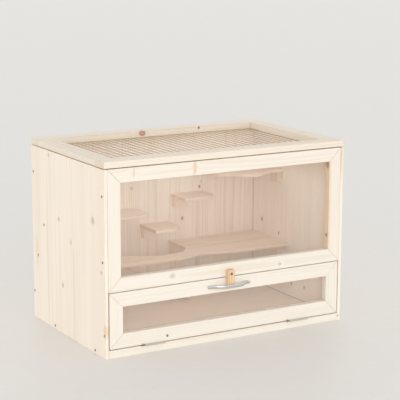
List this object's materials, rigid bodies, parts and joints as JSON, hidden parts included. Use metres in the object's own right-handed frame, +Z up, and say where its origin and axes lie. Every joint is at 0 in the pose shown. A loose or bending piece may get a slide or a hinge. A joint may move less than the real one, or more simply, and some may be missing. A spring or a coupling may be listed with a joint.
{
  "type": "hamster cage",
  "caption": "Pine hamster cage with an acrylic front window, a drop-down acrylic door held by a turn button, a hinged wire mesh lid, and a platform, ramp and shelves inside.",
  "frame": {"origin": "on the surface that the cage stands on, below the middle of its whole outline, handle and hinges included", "axes": "+X along the width to the right seen from the front, +Y to the back, +Z up"},
  "size_m": [0.8, 0.5298, 0.56],
  "materials": {
    "pine_frame": "planed and sanded, unvarnished pale pine",
    "pine_panel": "edge-glued pine strips, sanded, unvarnished",
    "button_wood": "sanded darker wood",
    "acrylic": "clear, polished",
    "chrome": "bright plated",
    "zinc": "dull zinc plated",
    "mesh_wire": "galvanised wire"
  },
  "bodies": {
    "cage_body": {"back_panel": "pine_panel", "base_rail": "pine_frame", "corner_shelf": "pine_panel", "corner_shelf_block": "pine_frame", "door_hinge_left_base_leaf": "zinc", "door_hinge_left_pin": "zinc", "door_hinge_right_base_leaf": "zinc", "door_hinge_right_pin": "zinc", "floor_panel": "pine_panel", "left_shelf": "pine_panel", "left_shelf_block": "pine_frame", "lid_hinge_left_body_leaf": "zinc", "lid_hinge_left_pin": "zinc", "lid_hinge_right_body_leaf": "zinc", "lid_hinge_right_pin": "zinc", "low_shelf": "pine_panel", "low_shelf_block": "pine_frame", "middle_shelf": "pine_panel", "middle_shelf_block": "pine_frame", "platform_block_back": "pine_frame", "platform_block_left": "pine_frame", "platform_block_right": "pine_frame", "platform_board": "pine_panel", "ramp": "pine_panel", "side_panel_left": "pine_panel", "side_panel_right": "pine_panel", "turn_button_screw": "zinc", "window_bottom_rail": "pine_frame", "window_left_stile": "pine_frame", "window_pane": "acrylic", "window_right_stile": "pine_frame", "window_top_rail": "pine_frame"},
    "lower_door": {"door_bottom_rail": "pine_frame", "door_hinge_left_door_leaf": "zinc", "door_hinge_right_door_leaf": "zinc", "door_left_stile": "pine_frame", "door_pane": "acrylic", "door_right_stile": "pine_frame", "door_top_rail": "pine_frame", "handle_bow": "chrome", "handle_screw_left": "zinc", "handle_screw_right": "zinc"},
    "turn_button": {"turn_button": "button_wood"},
    "lid": {"lid_back_rail": "pine_frame", "lid_front_rail": "pine_frame", "lid_hinge_left_lid_leaf": "zinc", "lid_hinge_right_lid_leaf": "zinc", "lid_left_rail": "pine_frame", "lid_mesh": "mesh_wire", "lid_right_rail": "pine_frame"}
  },
  "joints": [
    {"name": "lower_door_hinge", "type": "hinge", "parent": "cage_body", "child": "lower_door", "pos_m": [0, -0.2445, 0.02465], "axis": [1, 0, 0], "range_deg": [0, 90]},
    {"name": "lid_hinge", "type": "hinge", "parent": "cage_body", "child": "lid", "pos_m": [0, 0.2621, 0.53975], "axis": [-1, 0, 0], "range_deg": [0, 110]},
    {"name": "turn_button_pivot", "type": "hinge", "parent": "cage_body", "child": "turn_button", "pos_m": [0, -0.2465, 0.2005], "axis": [0, 1, 0], "range_deg": [-90, 90]}
  ]
}
